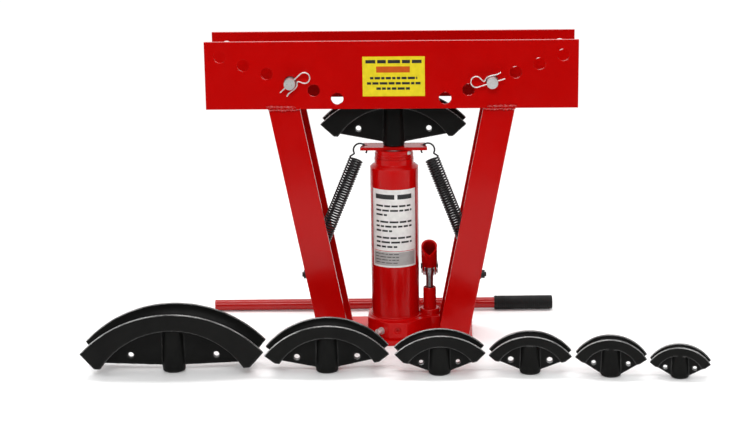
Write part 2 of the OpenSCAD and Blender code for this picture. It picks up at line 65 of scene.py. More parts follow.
CAMERA_PLACE = Vector((0.092, -2.957, 0.972))
CAMERA_YAW = math.radians(-2.7)
CAMERA_PITCH = math.radians(14.46)
CAMERA_ROLL = math.radians(0.87)
CAMERA_LENS = 90.4

# The backdrop grows brighter with how far a direction points back, plus this share of how far it points up
BACKDROP_RISE = 0.8
BACKDROP_SPAN = (-0.1, 0.3)
BACKDROP_LIGHT = (0.03, 1.0)
WORLD_STRENGTH = 1.06

FLOOR_FRONT, FLOOR_BACK, FLOOR_SIDE = -1.15, 1.9, 4.0
FLOOR_DROP = 0.0003
FLOOR_WHITE = (0.97, 0.97, 0.97, 1)
FLOOR_ROUGHNESS = 0.35


def make_camera():
    """A long lens that looks down a little and is turned slightly to the left."""
    level = Vector((math.sin(CAMERA_YAW), math.cos(CAMERA_YAW), 0))
    forward = level * math.cos(CAMERA_PITCH) - Z_AXIS * math.sin(CAMERA_PITCH)
    right = Vector((math.cos(CAMERA_YAW), -math.sin(CAMERA_YAW), 0))
    down = forward.cross(right)
    rolled_right = right * math.cos(CAMERA_ROLL) + down * math.sin(CAMERA_ROLL)
    rolled_down = down * math.cos(CAMERA_ROLL) - right * math.sin(CAMERA_ROLL)
    data = bpy.data.cameras.new("camera")
    data.lens = CAMERA_LENS
    camera = bpy.data.objects.new("camera", data)
    scene.collection.objects.link(camera)
    turn = Matrix((rolled_right, -rolled_down, -forward)).transposed()
    camera.matrix_world = Matrix.Translation(CAMERA_PLACE) @ turn.to_4x4()
    scene.camera = camera


def area_light(name, place, aim, size, power):
    """A soft rectangular lamp at a place, facing a point."""
    data = bpy.data.lights.new(name, "AREA")
    data.shape = "RECTANGLE"
    data.size, data.size_y = size
    data.energy = power
    lamp = bpy.data.objects.new(name, data)
    scene.collection.objects.link(lamp)
    lamp.location = place
    lamp.rotation_euler = (Vector(aim) - Vector(place)).to_track_quat("-Z", "Y").to_euler()


def make_world():
    """A white backdrop behind and above, and a dim room on the camera's side."""
    world = bpy.data.worlds.new("studio")
    scene.world = world
    world.use_nodes = True
    tree = world.node_tree
    coords = tree.nodes.new("ShaderNodeTexCoord")
    split = tree.nodes.new("ShaderNodeSeparateXYZ")
    tree.links.new(coords.outputs["Generated"], split.inputs[0])
    lift = tree.nodes.new("ShaderNodeMath")
    lift.operation = "MULTIPLY_ADD"
    tree.links.new(split.outputs["Z"], lift.inputs[0])
    lift.inputs[1].default_value = BACKDROP_RISE
    tree.links.new(split.outputs["Y"], lift.inputs[2])
    ramp = tree.nodes.new("ShaderNodeMapRange")
    ramp.inputs["From Min"].default_value = BACKDROP_SPAN[0]
    ramp.inputs["From Max"].default_value = BACKDROP_SPAN[1]
    ramp.inputs["To Min"].default_value = BACKDROP_LIGHT[0]
    ramp.inputs["To Max"].default_value = BACKDROP_LIGHT[1]
    tree.links.new(lift.outputs[0], ramp.inputs["Value"])
    background = tree.nodes["Background"]
    tree.links.new(ramp.outputs[0], background.inputs["Color"])
    background.inputs["Strength"].default_value = WORLD_STRENGTH


def make_floor():
    """A pale table top that ends some way in front of the object and behind it."""
    mesh = bpy.data.meshes.new("floor")
    corners = [(-FLOOR_SIDE, FLOOR_FRONT), (FLOOR_SIDE, FLOOR_FRONT), (FLOOR_SIDE, FLOOR_BACK),
               (-FLOOR_SIDE, FLOOR_BACK)]
    mesh.from_pydata([Vector((x, y, -FLOOR_DROP)) for x, y in corners], [], [(0, 1, 2, 3)])
    floor = bpy.data.objects.new("floor", mesh)
    scene.collection.objects.link(floor)
    surface = bpy.data.materials.new("floor_white")
    surface.use_nodes = True
    shader = surface.node_tree.nodes["Principled BSDF"]
    shader.inputs["Base Color"].default_value = FLOOR_WHITE
    shader.inputs["Roughness"].default_value = FLOOR_ROUGHNESS
    mesh.materials.append(surface)


make_camera()
make_world()
make_floor()
area_light("overhead_strip", place=(0.0, 0.3, 2.0), aim=(0, 0, 0.1), size=(2.0, 0.3), power=20)
area_light("front_softbox", place=(0.0, -2.6, 2.2), aim=(0, 0, 0.2), size=(2.2, 1.0), power=50)
area_light("left_softbox", place=(-2.4, -0.9, 1.3), aim=(0, 0, 0.2), size=(0.8, 1.4), power=9)
area_light("right_softbox", place=(2.4, -0.9, 1.3), aim=(0, 0, 0.2), size=(0.8, 1.4), power=8)


# ---------- materials ----------

class Look:
    """A node material, built step by step on object coordinates in metres."""

    def __init__(self, name, **constants):
        self.material = bpy.data.materials.new(name)
        self.material.use_nodes = True
        self.tree = self.material.node_tree
        self.shader = self.tree.nodes["Principled BSDF"]
        self.place = self.tree.nodes.new("ShaderNodeTexCoord").outputs["Object"]
        for socket, value in constants.items():
            self.shader.inputs[socket.replace("_", " ")].default_value = value

    def join(self, source, target):
        self.tree.links.new(source, target)

    def noise(self, scale, detail=3.0, stretch=None):
        """Cloudy noise from 0 to 1, stretched along an axis if asked."""
        node = self.tree.nodes.new("ShaderNodeTexNoise")
        node.inputs["Scale"].default_value = scale
        node.inputs["Detail"].default_value = detail
        place = self.place
        if stretch:
            mapping = self.tree.nodes.new("ShaderNodeMapping")
            mapping.inputs["Scale"].default_value = stretch
            self.join(place, mapping.inputs["Vector"])
            place = mapping.outputs[0]
        self.join(place, node.inputs["Vector"])
        return node.outputs["Fac"]

    def spots(self, scale):
        """Cell distance, for pits and specks."""
        node = self.tree.nodes.new("ShaderNodeTexVoronoi")
        node.inputs["Scale"].default_value = scale
        self.join(self.place, node.inputs["Vector"])
        return node.outputs["Distance"]

    def span(self, value, low, high, to_low=0.0, to_high=1.0):
        """value from low..high to to_low..to_high, clamped."""
        node = self.tree.nodes.new("ShaderNodeMapRange")
        limits = {"From Min": low, "From Max": high, "To Min": to_low, "To Max": to_high}
        for name, number in limits.items():
            node.inputs[name].default_value = number
        self.join(value, node.inputs["Value"])
        return node.outputs[0]

    def sum(self, a, b, operation):
        """A sum, difference or product of two values. Each is a number or a socket."""
        node = self.tree.nodes.new("ShaderNodeMath")
        node.operation = operation
        for socket, value in zip(node.inputs, (a, b)):
            if isinstance(value, float):
                socket.default_value = value
            else:
                self.join(value, socket)
        return node.outputs[0]

    def facing_up(self):
        """The upward part of the surface's direction."""
        geometry = self.tree.nodes.new("ShaderNodeNewGeometry")
        split = self.tree.nodes.new("ShaderNodeSeparateXYZ")
        self.join(geometry.outputs["Normal"], split.inputs[0])
        return split.outputs["Z"]

    def edges(self, radius, low=0.02, high=0.25):
        """1 along edges, from how much a rounded normal leaves the true one."""
        bevel = self.tree.nodes.new("ShaderNodeBevel")
        bevel.samples = 4
        bevel.inputs["Radius"].default_value = radius
        geometry = self.tree.nodes.new("ShaderNodeNewGeometry")
        dot = self.tree.nodes.new("ShaderNodeVectorMath")
        dot.operation = "DOT_PRODUCT"
        self.join(bevel.outputs[0], dot.inputs[0])
        self.join(geometry.outputs["Normal"], dot.inputs[1])
        return self.span(self.sum(1.0, dot.outputs["Value"], "SUBTRACT"), low, high)

    def blend(self, amount, a, b):
        """Colour a where amount is 0, b where it is 1. Each is a colour or a socket."""
        node = self.tree.nodes.new("ShaderNodeMix")
        node.data_type = "RGBA"
        self.join(amount, node.inputs["Factor"])
        for socket, value in zip((node.inputs[6], node.inputs[7]), (a, b)):
            if isinstance(value, tuple):
                socket.default_value = (*value, 1)
            else:
                self.join(value, socket)
        return node.outputs[2]

    def colour(self, socket):
        self.join(socket, self.shader.inputs["Base Color"])

    def rough(self, socket):
        self.join(socket, self.shader.inputs["Roughness"])

    def bump(self, height, depth):
        """Relief from a height of 0 to 1, depth metres deep, on top of any earlier relief."""
        node = self.tree.nodes.new("ShaderNodeBump")
        node.inputs["Strength"].default_value = 1.0
        node.inputs["Distance"].default_value = depth
        self.join(height, node.inputs["Height"])
        earlier = self.shader.inputs["Normal"].links
        if earlier:
            self.join(earlier[0].from_socket, node.inputs["Normal"])
        self.join(node.outputs[0], self.shader.inputs["Normal"])


def gloss_paint(name, main, deep, light, peel=0.00004, coat=0.1):
    """Sprayed gloss paint: slow colour drift, orange peel, and a painted highlight that tints the edges
    towards the light colour.
    """
    look = Look(name, Coat_Weight=coat, Coat_Roughness=0.1, Specular_IOR_Level=0.16)
    body = look.blend(look.span(look.noise(7, 4.0), 0.3, 0.7), deep, main)
    # painted highlight: edges, broken up by noise, are tinted towards the light colour
    painted_edge_highlight = look.sum(look.edges(0.0009), look.span(look.noise(60, 5.0), 0.4, 0.62), "MULTIPLY")
    look.colour(look.blend(look.sum(painted_edge_highlight, 0.75, "MULTIPLY"), body, light))
    look.rough(look.span(look.noise(35, 5.0), 0.25, 0.75, 0.15, 0.26))
    look.bump(look.noise(260, 2.0), peel)
    look.bump(look.noise(28, 2.0), peel * 2.0)
    return look.material


def cast_black(name):
    """Black paint over a sand casting: grain and pits, painted shade on faces that look upward, edges rubbed
    pale as partly wear and partly painted highlight, and a near-white painted highlight on upward edges.
    """
    look = Look(name)
    drift = look.span(look.noise(25, 5.0), 0.3, 0.7)
    body = look.blend(drift, (0.0042, 0.0043, 0.004), (0.0072, 0.0073, 0.0068))
    edge = look.edges(0.0028, 0.006, 0.07)
    up = look.facing_up()
    # painted shade: faces that look upward are darkened where the overhead light would brighten them
    body = look.blend(look.span(up, 0.15, 0.55), body, (0.0016, 0.0016, 0.0015))
    # edges paled to grey: partly real wear, partly painted highlight
    edge_wear_and_highlight = look.sum(edge, look.span(look.noise(90, 6.0), 0.46, 0.64), "MULTIPLY")
    body = look.blend(look.sum(edge_wear_and_highlight, 0.6, "MULTIPLY"), body, (0.12, 0.12, 0.115))
    # painted highlight: upward edges, broken up by noise, turn near white
    painted_upper_edge_highlight = look.sum(look.span(up, 0.1, 0.35), look.span(look.noise(22, 5.0), 0.3, 0.52), "MULTIPLY")
    look.colour(look.blend(look.sum(painted_upper_edge_highlight, edge, "MULTIPLY"), body, (0.85, 0.85, 0.84)))
    look.join(look.span(edge, 0.0, 1.0, 0.09, 0.8), look.shader.inputs["Specular IOR Level"])
    polish = look.span(edge, 0.0, 1.0, 0.0, 0.2)
    look.rough(look.sum(look.span(look.noise(60, 5.0), 0.3, 0.7, 0.36, 0.5), polish, "SUBTRACT"))
    look.bump(look.noise(700, 3.0), 0.00012)
    look.bump(look.span(look.spots(330), 0.0, 0.25), 0.00012)
    look.bump(look.noise(45, 2.0), 0.0003)
    return look.material


def steel(name, light, dark, rough, stretch=None, scale=300.0, depth=0.00002, metal=1.0):
    """Bare or plated steel with its grain along one axis."""
    look = Look(name, Metallic=metal)
    body = look.blend(look.span(look.noise(18, 4.0), 0.3, 0.7), dark, light)
    grain = look.noise(scale, 4.0, stretch)
    body = look.blend(look.span(grain, 0.35, 0.75, 0.0, 0.35), body, dark)
    look.colour(look.blend(look.sum(look.edges(0.0006), 0.5, "MULTIPLY"), body, light))
    look.rough(look.span(grain, 0.3, 0.7, rough, rough + 0.16))
    look.bump(grain, depth)
    return look.material


def rubber(name, rough=0.55, grain=900.0):
    """Moulded black rubber with a fine grain and a dusty bloom."""
    look = Look(name, Sheen_Weight=0.04, Specular_IOR_Level=0.15)
    bloom = look.span(look.noise(14, 5.0), 0.35, 0.7)
    look.colour(look.blend(bloom, (0.0045, 0.005, 0.005), (0.009, 0.0095, 0.009)))
    look.rough(look.span(look.noise(80, 4.0), 0.3, 0.7, rough - 0.1, rough + 0.1))
    look.bump(look.noise(grain, 3.0), 0.00008)
    return look.material


def printed_film(name, main):
    """Printed label film: faint mottling and tiny waves where it sticks."""
    look = Look(name, Coat_Weight=0.1, Coat_Roughness=0.15, Specular_IOR_Level=0.2)
    dull = tuple(0.86 * c for c in main)
    look.colour(look.blend(look.span(look.noise(120, 5.0), 0.35, 0.75), main, dull))
    look.rough(look.span(look.noise(50, 3.0), 0.3, 0.7, 0.32, 0.44))
    look.bump(look.noise(90, 2.0), 0.00005)
    return look.material


# Each paint's light colour is the painted highlight on its edges
FRAME_RED = gloss_paint("frame_red_paint", main=(0.51, 0.0018, 0.0014), deep=(0.46, 0.0014, 0.001),
                        light=(0.64, 0.045, 0.036))
JACK_RED = gloss_paint("jack_red_paint", main=(0.56, 0.0016, 0.0016), deep=(0.48, 0.001, 0.001),
                       light=(0.66, 0.035, 0.03), peel=0.00007)
# painted highlight: the weld paint's pale pink light colour stands for glints on the bead ripples
WELD_RED = gloss_paint("weld_red_paint", main=(0.52, 0.002, 0.0016), deep=(0.42, 0.0014, 0.001),
                       light=(0.75, 0.2, 0.17), peel=0.0002, coat=1.0)
# painted shade: the lever tube's paint is a darker copy of the frame red
LEVER_SHADED_RED = gloss_paint("lever_shaded_red_paint", main=(0.36, 0.004, 0.003), deep=(0.31, 0.003, 0.002),
                        light=(0.6, 0.05, 0.04), peel=0.00002, coat=0.3)
FORMER_BLACK = cast_black("former_black_casting")
ZINC = steel("zinc_plate", (0.82, 0.81, 0.79), (0.6, 0.6, 0.59), rough=0.26, metal=0.5)
GROUND_STEEL = steel("ground_steel", (0.5, 0.5, 0.51), (0.38, 0.38, 0.39), rough=0.22,
                     stretch=(1, 1, 9), scale=420.0)
SPRING_STEEL = steel("spring_steel_black", (0.03, 0.03, 0.032), (0.008, 0.008, 0.008), rough=0.3,
                     scale=500.0, depth=0.00003, metal=0.4)
PIN_BLACK = steel("pin_black_oxide", (0.05, 0.048, 0.048), (0.015, 0.014, 0.014), rough=0.32,
                  scale=400.0, depth=0.00003, metal=0.6)
TURNED_STEEL = steel("roller_turned_steel", (0.3, 0.3, 0.31), (0.14, 0.14, 0.145), rough=0.3,
                     stretch=(1, 18, 1), scale=200.0)
GRIP_RUBBER = rubber("grip_rubber")
SEAL_RUBBER = rubber("seal_rubber", rough=0.5, grain=1300.0)
LABEL_YELLOW = printed_film("label_yellow_film", (0.85, 0.68, 0.02))
LABEL_WHITE = printed_film("label_white_film", (0.86, 0.84, 0.82))
LABEL_GREY = printed_film("label_grey_print", (0.42, 0.4, 0.39))
INK_BLACK = printed_film("label_black_ink", (0.03, 0.03, 0.03))
INK_RED = printed_film("label_red_ink", (0.62, 0.1, 0.01))

# The finish of each material slot, and of the nodes that get another finish than their slot's: the lever
# tube's darker copy of the frame red is painted shade
SLOT_LOOKS = {
    "frame_red": FRAME_RED,
    "jack_red": JACK_RED,
    "former_black": FORMER_BLACK,
    "zinc_steel": ZINC,
    "bright_steel": GROUND_STEEL,
    "spring_black": SPRING_STEEL,
    "black_oxide": PIN_BLACK,
    "roller_steel": TURNED_STEEL,
    "grip_rubber": GRIP_RUBBER,
    "seal_rubber": SEAL_RUBBER,
    "label_yellow": LABEL_YELLOW,
    "label_white": LABEL_WHITE,
}
NODE_LOOKS = {"lever_tube": LEVER_SHADED_RED}


# ---------- mesh helpers ----------

def add_piece(name, mesh_data, materials, body, smooth=True):
    """Links a bmesh as a named piece that rides on a body."""
    mesh = bpy.data.meshes.new(name)
    bmesh.ops.recalc_face_normals(mesh_data, faces=mesh_data.faces)
    mesh_data.to_mesh(mesh)
    mesh_data.free()
    for face in mesh.polygons:
        face.use_smooth = smooth
    for material in materials:
        mesh.materials.append(material)
    piece = bpy.data.objects.new(name, mesh)
    scene.collection.objects.link(piece)
    if body:
        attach(piece, body)
    return piece


def carried_frames(points):
    """A direction, a normal and a side at each point, carried along without twist."""
    frames = []
    normal = None
    for i in range(len(points)):
        along = (points[min(i + 1, len(points) - 1)] - points[max(i - 1, 0)]).normalized()
        if normal is None:
            start = Y_AXIS if abs(along.y) < 0.9 else X_AXIS
            normal = along.cross(start).normalized()
        normal = (normal - along * normal.dot(along)).normalized()
        frames.append((along, normal, along.cross(normal)))
    return frames


def ring_round(target, centre, radius, across, side, sides):
    """Adds a circle of points round a centre."""
    turns = [2 * math.pi * k / sides for k in range(sides)]
    return [target.verts.new(centre + radius * (math.cos(a) * across + math.sin(a) * side)) for a in turns]


WIRE_END_BULGE = 0.45


def sweep(target, points, radius, sides):
    """Adds round wire with domed ends. radius is a number or a function of the share along the points."""
    rings = []
    frames = carried_frames(points)
    last = len(points) - 1
    for i, (point, (_, normal, side)) in enumerate(zip(points, frames)):
        r = radius(i / last) if callable(radius) else radius
        rings.append(ring_round(target, point, r, normal, side, sides))
    for low, high in zip(rings, rings[1:]):
        for k in range(sides):
            target.faces.new((low[k], low[(k + 1) % sides], high[(k + 1) % sides], high[k]))
    for end, outward in ((0, -1), (last, 1)):
        ring = rings[end]
        bulge = (ring[0].co - points[end]).length * WIRE_END_BULGE
        tip = target.verts.new(points[end] + frames[end][0] * outward * bulge)
        for k in range(sides):
            target.faces.new((ring[k], ring[(k + 1) % sides], tip))


def lathe(target, profile, centre, axis, sides):
    """Adds a turned shape: profile is (radius, height) pairs from one end to the other."""
    across = axis.orthogonal().normalized()
    side = axis.cross(across)
    rings = []
    for r, h in profile:
        if r < 1e-7:
            rings.append([target.verts.new(centre + axis * h)])
        else:
            rings.append(ring_round(target, centre + axis * h, r, across, side, sides))
    for low, high in zip(rings, rings[1:]):
        for k in range(sides):
            n = (k + 1) % sides
            corners = [low[k % len(low)], low[n % len(low)], high[n % len(high)], high[k % len(high)]]
            target.faces.new(list(dict.fromkeys(corners)))


def smooth_route(points, steps):
    """Catmull-Rom points through a given route."""
    route = []
    padded = [points[0]] + list(points) + [points[-1]]
    for a, b, c, d in zip(padded, padded[1:], padded[2:], padded[3:]):
        for k in range(steps):
            t = k / steps
            route.append(0.5 * (2 * b + (c - a) * t + (2 * a - 5 * b + 4 * c - d) * t * t
                                + (3 * b - a - 3 * c + d) * t * t * t))
    return route + [points[-1]]


# ---------- carried-over CAD nodes ----------

MERGE_GAP = 1e-5
# Degrees: faces that meet flatter than the first become one, edges sharper than the second are rounded
FLAT_ANGLE = 0.6
SHARP_ANGLE = 35
THINNED_SHARE = 0.3


def add_modifier(piece, kind, **settings):
    """Puts a modifier on a piece, with its settings by name."""
    modifier = piece.modifiers.new(kind.lower(), kind)
    for name, value in settings.items():
        setattr(modifier, name, value)


def round_edges(name, width):
    """Small rounded edges on a machined or sheared part."""
    piece = frame["nodes"][name]
    add_modifier(piece, "WELD", merge_threshold=MERGE_GAP)
    add_modifier(piece, "DECIMATE", decimate_type="DISSOLVE", angle_limit=math.radians(FLAT_ANGLE))
    add_modifier(piece, "BEVEL", width=width, segments=2, limit_method="ANGLE",
                 angle_limit=math.radians(SHARP_ANGLE), harden_normals=True, use_clamp_overlap=True,
                 miter_outer="MITER_ARC")


def cast_surface(name, voxel, rounding):
    """Soft cast edges and fillets: the shape is remeshed finely, smoothed and thinned."""
    piece = frame["nodes"][name]
    add_modifier(piece, "WELD", merge_threshold=MERGE_GAP)
    add_modifier(piece, "REMESH", mode="VOXEL", voxel_size=voxel, use_smooth_shade=True)
    add_modifier(piece, "SMOOTH", factor=0.5, iterations=rounding)
    add_modifier(piece, "DECIMATE", decimate_type="COLLAPSE", ratio=THINNED_SHARE)


def drop_imported_normals(mesh):
    """The importer's fixed normals would fight the rounded edges."""
    for name in ("custom_normal", "sharp_edge", "sharp_face"):
        attribute = mesh.attributes.get(name)
        if attribute:
            mesh.attributes.remove(attribute)
    for face in mesh.polygons:
        face.use_smooth = True


def dress_nodes():
    """Gives every CAD node its finish, and rounded or cast edges."""
    slots = {s["node"]: s["material_slot"] for s in frame["record"]["subparts"]}
    for name, piece in frame["nodes"].items():
        piece.data.materials.clear()
        piece.data.materials.append(NODE_LOOKS.get(name, SLOT_LOOKS[slots[name]]))
        if name in CAST_NODES or name in ROUNDED_NODES:
            drop_imported_normals(piece.data)
    for name, (voxel, rounding) in CAST_NODES.items():
        cast_surface(name, voxel * MM, rounding)
    for name, width in ROUNDED_NODES.items():
        round_edges(name, width * MM)


# Voxel in mm and smoothing steps
CAST_NODES = {"former_60": (1.0, 11), "former_48": (0.9, 11), "former_42": (0.8, 11), "former_33": (0.7, 11),
              "former_26": (0.65, 11), "former_21": (0.6, 11), "former_17": (0.55, 11), "jack_base": (0.8, 6)}
# Edge rounding in mm
ROUNDED_NODES = {"base_plate": 0.8, "left_leg": 0.9, "right_leg": 0.9, "front_plate": 0.8, "back_plate": 0.8,
                 "left_anchor_bolt": 0.3, "right_anchor_bolt": 0.3, "anchor_nuts": 0.5, "reservoir_tube": 0.7,
                 "head_nut": 0.5, "relief_valve_plug": 0.3, "pump_cylinder": 0.5, "link_foot_pin": 0.3,
                 "release_valve": 0.6, "spring_plate": 0.7, "pump_link": 0.5, "link_pin": 0.3,
                 "handle_socket": 0.5, "pump_plunger": 0.4, "plunger_pin": 0.3, "left_roller_pin": 0.6,
                 "right_roller_pin": 0.6, "left_roller": 0.5, "right_roller": 0.5, "lever_tube": 0.35,
                 "ram": 0.5, "base_screws": 0.3, "filler_plug": 0.4}
dress_nodes()


# ---------- labels ----------

# Millimetres: a label's edge strip, its widest face, and how far its face and its rim stand off the metal
LABEL_EDGE = 2.0
LABEL_STEP = 4
LABEL_FACE_LIFT = 0.22
LABEL_RIM_LIFT = 0.02


def printed_label(name, width, height, bars, place, films, body, replaced):
    """A thin label: its sheet and its printed bars are faces of one mesh. bars are (x0, x1, z0, z1, film) in
    label millimetres from the lower left, and a later bar covers an earlier one. place(x, z, lift) gives the
    point in space."""
    sheet = bmesh.new()
    bars = [b for b in bars if b[1] > b[0]]
    xs = sorted({0, LABEL_EDGE, width - LABEL_EDGE, width} | {b[0] for b in bars} | {b[1] for b in bars}
                | set(range(0, int(width), LABEL_STEP)))
    zs = sorted({0, LABEL_EDGE, height - LABEL_EDGE, height} | {b[2] for b in bars} | {b[3] for b in bars})
    grid = {}

    def vert(i, j):
        if (i, j) not in grid:
            grid[i, j] = sheet.verts.new(place(xs[i], zs[j], LABEL_FACE_LIFT))
        return grid[i, j]

    for i in range(len(xs) - 1):
        for j in range(len(zs) - 1):
            mid_x, mid_z = (xs[i] + xs[i + 1]) / 2, (zs[j] + zs[j + 1]) / 2
            face = sheet.faces.new((vert(i, j), vert(i + 1, j), vert(i + 1, j + 1), vert(i, j + 1)))
            for x0, x1, z0, z1, film in bars:
                if x0 < mid_x < x1 and z0 < mid_z < z1:
                    face.material_index = film
    rim = [e for e in sheet.edges if e.is_boundary]
    border = bmesh.ops.extrude_edge_only(sheet, edges=rim)
    lowered = {v for v in border["geom"] if isinstance(v, bmesh.types.BMVert)}
    places = {v: k for k, v in grid.items()}
    for edge in rim:
        for v in edge.verts:
            for other in lowered:
                if (other.co - v.co).length < 1e-7:
                    i, j = places[v]
                    other.co = place(xs[i], zs[j], LABEL_RIM_LIFT)
                    lowered.discard(other)
                    break
    piece = add_piece(name, sheet, films, body, smooth=False)
    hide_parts(replaced)


def word_bars(rng, x0, x1, z0, z1, film, shortest=5.0, longest=13.0, gap=1.8):
    """A row of word-long bars that stands for a printed line."""
    bars = []
    x = x0
    while x < x1 - 2:
        end = min(x + rng.uniform(shortest, longest), x1)
        bars.append((round(x, 1), round(end, 1), z0, z1, film))
        x = end + gap
    return bars


def caution_label():
    """Yellow label on the front plate: a black title row, a bold red row and three rows of small print."""
    low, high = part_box("caution_label")
    width, height = (high.x - low.x) / MM, (high.z - low.z) / MM
    rng = random.Random(7)
    black, red = 1, 2
    bars = word_bars(rng, 5, width - 5, height - 11, height - 5.5, black, shortest=12, longest=24, gap=3)
    bars += word_bars(rng, 22, width - 24, height - 26, height - 16, red, shortest=60, longest=70)
    for row, inset in enumerate((12, 7, 22)):
        z = height - 37 - row * 8.5
        bars += word_bars(rng, inset, width - inset, z, z + 4, black)

    def place(x, z, lift):
        return Vector((low.x + x * MM, high.y - lift * MM, low.z + z * MM))

    printed_label("caution_print", width, height, bars, place, [LABEL_YELLOW, INK_BLACK, INK_RED],
                  "frame", "caution_label")


JACK_LABEL_HALF_TURN = math.radians(59.5)
# Millimetres between the tube and the label's back
JACK_LABEL_GAP = 0.05


def jack_label():
    """White label round the jack's tube: a title row, three groups of small print and a grey panel."""
    low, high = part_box("jack_label")
    tube_low, tube_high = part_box("reservoir_tube")
    radius = (tube_high.x - tube_low.x) / 2
    centre_x = (tube_low.x + tube_high.x) / 2
    width = 2 * JACK_LABEL_HALF_TURN * radius / MM
    height = (high.z - low.z) / MM
    rng = random.Random(11)
    black, panel, red_gap = 1, 2, 3
    bars = [(3, width - 3, 3, 26, panel), (2.5, width - 2.5, 27, 28.0, red_gap)]
    bars += word_bars(rng, 8, width - 10, height - 16, height - 8, black, shortest=30, longest=40, gap=5)
    for group in range(3):
        for row in range(3):
            z = height - 29 - group * 27 - row * 7.6
            end = width - 10 if row < 2 else width * (0.36 + 0.1 * group)
            bars += word_bars(rng, 9, end, z, z + 3.2, black, shortest=6, longest=15, gap=2)
    for row in range(4):
        z = 7 + row * 5
        bars += word_bars(rng, 7, width - 34, z, z + 1.2, black, shortest=4, longest=12, gap=1.5)

    def place(x, z, lift):
        angle = (x * MM - width * MM / 2) / radius
        r = radius + (JACK_LABEL_GAP + lift) * MM
        return Vector((centre_x + r * math.sin(angle), -r * math.cos(angle), low.z + z * MM))

    printed_label("jack_print", width, height, bars, place, [LABEL_WHITE, INK_BLACK, LABEL_GREY, JACK_RED],
                  "frame", "jack_label")


caution_label()
jack_label()


# ---------- springs ----------

COILS = 38
COIL_STEPS = 22
# Radii of the wire, and of the coils to the wire's middle
SPRING_WIRE = 1.45 * MM
SPRING_RADIUS = 11.05 * MM
COILS_LOW = Vector((124.5, 0, 148)) * MM
LOWER_HOOK_CENTRE = Vector((121.5, 0, 104)) * MM
LOWER_HOOK_RADIUS = 6.3 * MM
LOWER_SHANK = [Vector((130.5, 0, 118)) * MM, Vector((133.6, 0, 138)) * MM]
# From the jack's axis, at floor height
COILS_TOP = Vector((62.7, 0, 303)) * MM
UPPER_HOOK_CENTRE = Vector((56, 0, 318)) * MM
UPPER_HOOK_RADIUS = 11 * MM


def arc(centre, radius, start, end, steps):
    """Points on an arc in the XZ plane, in degrees."""
    turns = [math.radians(start + (end - start) * k / steps) for k in range(steps + 1)]
    return [centre + radius * Vector((math.cos(a), 0, math.sin(a))) for a in turns]


def return_spring(side, node, name):
    """Round wire coils between the anchor's eye and the ram's cross-plate, with an open hook at each end."""
    tube_low, tube_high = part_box("reservoir_tube")
    jack_axis = Vector((side * (tube_low.x + tube_high.x) / 2, 0, 0))
    low = COILS_LOW
    top = jack_axis + COILS_TOP
    along = (top - low).normalized()
    across = Vector((along.z, 0, -along.x))
    coils = []
    for k in range(COILS * COIL_STEPS + 1):
        angle = 2 * math.pi * k / COIL_STEPS
        share = k / (COILS * COIL_STEPS)
        outward = math.cos(angle) * across + math.sin(angle) * Y_AXIS
        coils.append(low + (top - low) * share + SPRING_RADIUS * outward)
    lower_hook = arc(LOWER_HOOK_CENTRE, LOWER_HOOK_RADIUS, -200, 0, 24) + LOWER_SHANK
    upper_hook = arc(jack_axis + UPPER_HOOK_CENTRE, UPPER_HOOK_RADIUS, -32, 208, 40)
    points = [Vector((side * p.x, p.y, p.z)) for p in lower_hook + coils + upper_hook]
    wire = bmesh.new()
    sweep(wire, points, SPRING_WIRE, 8)
    piece = add_piece(name, wire, [SPRING_STEEL], None)
    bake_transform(piece)
    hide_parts(node)


return_spring(-1, "left_return_spring", "left_spring_coils")
return_spring(1, "right_return_spring", "right_spring_coils")


# ---------- hairpin clips ----------

# The wire's middle, in millimetres from the middle of the pin's cross hole
CLIP_ROUTE = [(21, 0), (10, 0), (0, 0), (-10, 0), (-18, 0), (-24, -0.1), (-28.4, 1.1), (-31.6, 4.3),
              (-32.8, 8.7), (-31.6, 13.1), (-28.4, 16.3), (-24, 17.5), (-19.6, 16.3), (-16.6, 12.8),
              (-14.4, 8.6), (-12, 5.8), (-9.6, 7.2), (-6.8, 9.8), (-2.5, 11.2), (2.5, 11.2), (6.5, 10.7),
              (10, 10.45), (13.5, 10.8), (17.5, 11.8)]
CLIP_WIRE_RADIUS = 1.0 * MM


def hairpin_clip(side, turn, name):
    """Spring wire: one straight leg through the pin, a round loop and a wavy leg over the pin."""
    pin_low, pin_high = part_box(f"{side}_roller_pin")
    clip_low, clip_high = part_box(f"{side}_pin_clip")
    centre = (pin_low + pin_high) / 2
    centre.y = (clip_low.y + clip_high.y) / 2
    turned = Matrix.Rotation(math.radians(-turn), 4, "Y")
    route = [centre + turned @ (Vector((-x, 0, -z)) * MM) for x, z in CLIP_ROUTE]
    wire = bmesh.new()
    sweep(wire, smooth_route(route, 5), CLIP_WIRE_RADIUS, 12)
    piece = add_piece(name, wire, [ZINC], f"{side}_clip")
    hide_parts(f"{side}_pin_clip")


hairpin_clip("left", 42, "left_hairpin_clip")
hairpin_clip("right", 197, "right_hairpin_clip")


# ---------- welds ----------

# A leg's outer face at the base plate, its outward lean (across over up), and its width across
LEG_FOOT_X = 124 * MM
LEG_SLOPE = 0.1935
LEG_WIDTH = 51 * MM
BEAD_STEP = 0.7 * MM


def lumpy_bead(name, start, end, radius, body, ripple=5.0 * MM, seed=0.0):
    """A hand-laid weld bead: overlapping ripples with an uneven crown."""
    length = (end - start).length
    steps = max(12, int(length / BEAD_STEP))
    bead = bmesh.new()

    def swell(share):
        at = share * length
        crest = abs(math.sin(math.pi * at / ripple))
        waver = noise.noise(Vector((at * 90, seed, 0)))
        taper = min(1.0, 6 * share + 0.45, 6 * (1 - share) + 0.45)
        return radius * taper * (0.72 + 0.3 * crest + 0.32 * waver)

    points = []
    for k in range(steps + 1):
        point = start.lerp(end, k / steps)
        point.z += 0.25 * radius * noise.noise(Vector((k * 0.11, seed + 5, 0)))
        points.append(point)
    sweep(bead, points, swell, 12)
    add_piece(name, bead, [WELD_RED], body)


